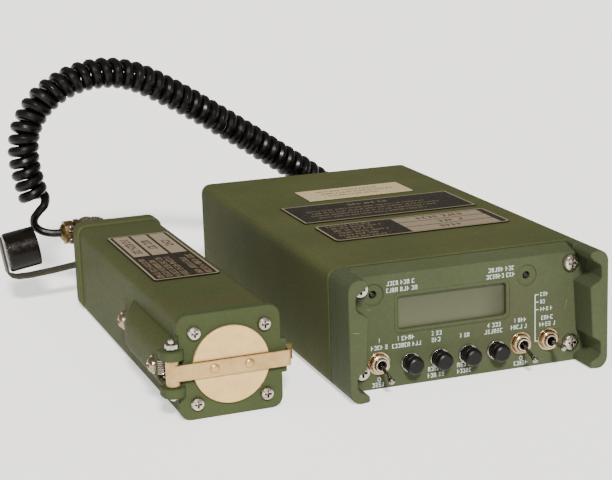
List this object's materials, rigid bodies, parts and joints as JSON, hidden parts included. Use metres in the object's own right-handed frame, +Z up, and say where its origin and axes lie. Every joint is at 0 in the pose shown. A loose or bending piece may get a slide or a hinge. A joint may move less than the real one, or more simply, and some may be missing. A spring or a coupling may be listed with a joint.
{
  "type": "geiger counter",
  "caption": "Field radiation meter in a painted metal case with a switch panel between guard ears, a square probe with a swinging window shield, and a curly cord joining their rear connectors.",
  "frame": {"origin": "centre of the underside of the meter's case sleeve, on the surface both units stand on", "axes": "+Z up, -Y out of the meter's front panel, +X to the panel's right; the probe lies to the left, at -X"},
  "size_m": [0.2394, 0.2621, 0.128],
  "materials": {
    "meter_paint": "matt olive green paint, worn at edges",
    "panel_paint": "satin olive green paint on a casting",
    "probe_paint": "matt olive green paint, worn at edges",
    "plate_paint": "satin olive green paint",
    "gasket_rubber": "dull black",
    "window_glass": "clear window over a grey-green display",
    "lamp_lens": "dark lens",
    "circuit_board": "green laminate",
    "screw_steel": "plated steel",
    "switch_steel": "bright plated",
    "nut_plating": "gold coloured plating",
    "button_black": "semi-gloss black",
    "black_plastic": "matt black",
    "pale_label": "faded paper-like sticker",
    "label_plate": "black printed aluminium foil",
    "connector_bronze": "dull olive-bronze plating",
    "shield_alloy": "warm satin metal",
    "cap_plastic": "semi-gloss black",
    "strap_rubber": "dull olive brown",
    "cord_rubber": "satin black jacket"
  },
  "bodies": {
    "meter": {"meter_case": "meter_paint", "rear_cover": "meter_paint", "panel_gasket": "gasket_rubber", "front_panel": "panel_paint", "panel_screw_left_lower": "screw_steel", "panel_screw_left_upper": "screw_steel", "panel_screw_right_lower": "screw_steel", "panel_screw_right_upper": "screw_steel", "lcd_window": "window_glass", "lcd_module": "circuit_board", "dose_alarm_lamp": "lamp_lens", "rate_alarm_lamp": "lamp_lens", "on_off_switch": "switch_steel", "light_switch": "switch_steel", "alarm_switch": "switch_steel", "on_off_nut": "nut_plating", "light_nut": "nut_plating", "alarm_nut": "nut_plating", "test_button_switch": "switch_steel", "rate_button_switch": "switch_steel", "dose_button_switch": "switch_steel", "store_button_switch": "switch_steel", "main_board": "circuit_board", "battery_pack": "black_plastic", "sounder": "black_plastic", "top_label_rear": "pale_label", "top_plate_middle": "label_plate", "top_plate_front": "label_plate", "meter_receptacle": "connector_bronze", "meter_cord_plug": "connector_bronze", "coil_cord": "cord_rubber"},
    "on_off_lever": {"on_off_lever": "switch_steel"},
    "light_lever": {"light_lever": "switch_steel"},
    "alarm_lever": {"alarm_lever": "switch_steel"},
    "test_button": {"test_button": "button_black"},
    "rate_button": {"rate_button": "button_black"},
    "dose_button": {"dose_button": "button_black"},
    "store_button": {"store_button": "button_black"},
    "probe": {"probe_case": "probe_paint", "probe_end_cap": "probe_paint", "probe_front_plate": "plate_paint", "detector_window": "screw_steel", "detector_tube": "screw_steel", "probe_board": "circuit_board", "plate_screw_left_lower": "screw_steel", "plate_screw_left_upper": "screw_steel", "plate_screw_right_lower": "screw_steel", "plate_screw_right_upper": "screw_steel", "probe_data_plate": "label_plate", "hinge_pin": "screw_steel", "hinge_nut": "screw_steel", "hinge_spring": "screw_steel", "probe_receptacle": "connector_bronze", "probe_cord_plug": "connector_bronze", "probe_cord_tail": "cord_rubber"},
    "shield": {"shield_strap": "shield_alloy", "shield_disc": "shield_alloy"},
    "coupling_ring": {"probe_coupling_ring": "connector_bronze"},
    "cap": {"dust_cap": "cap_plastic", "cap_strap": "strap_rubber"}
  },
  "joints": [
    {"name": "on_off_tilt", "type": "hinge", "parent": "meter", "child": "on_off_lever", "pos_m": [-0.0427, -0.1135, 0.0117], "axis": [-1, 0, 0], "range_deg": [0, 36]},
    {"name": "light_tilt", "type": "hinge", "parent": "meter", "child": "light_lever", "pos_m": [0.0265, -0.1135, 0.0117], "axis": [-1, 0, 0], "range_deg": [0, 36]},
    {"name": "alarm_tilt", "type": "hinge", "parent": "meter", "child": "alarm_lever", "pos_m": [0.0404, -0.1135, 0.0117], "axis": [-1, 0, 0], "range_deg": [-18, 18]},
    {"name": "test_press", "type": "slide", "parent": "meter", "child": "test_button", "axis": [0, 1, 0], "range_m": [0, 0.0012], "stiffness_N_per_m": 300, "springref_m": -0.001},
    {"name": "rate_press", "type": "slide", "parent": "meter", "child": "rate_button", "axis": [0, 1, 0], "range_m": [0, 0.0012], "stiffness_N_per_m": 300, "springref_m": -0.001},
    {"name": "dose_press", "type": "slide", "parent": "meter", "child": "dose_button", "axis": [0, 1, 0], "range_m": [0, 0.0012], "stiffness_N_per_m": 300, "springref_m": -0.001},
    {"name": "store_press", "type": "slide", "parent": "meter", "child": "store_button", "axis": [0, 1, 0], "range_m": [0, 0.0012], "stiffness_N_per_m": 300, "springref_m": -0.001},
    {"name": "probe_lift", "type": "slide", "parent": "meter", "child": "probe", "axis": [0, 0, 1], "range_m": [0, 0.1], "deforming": ["coil_cord"]},
    {"name": "shield_swing", "type": "hinge", "parent": "probe", "child": "shield", "pos_m": [-0.13698, -0.1161, 0.0223], "axis": [0, 0, -1], "range_deg": [0, 170]},
    {"name": "ring_turn", "type": "hinge", "parent": "probe", "child": "coupling_ring", "pos_m": [-0.12567, 0.0817, 0.0355], "axis": [-0.0227, 0.9997, 0], "range_deg": [0, 120]},
    {"name": "cap_swing", "type": "hinge", "parent": "probe", "child": "cap", "pos_m": [-0.13043, 0.0931, 0.021], "axis": [0.0227, -0.9997, 0], "range_deg": [0, 18]}
  ]
}
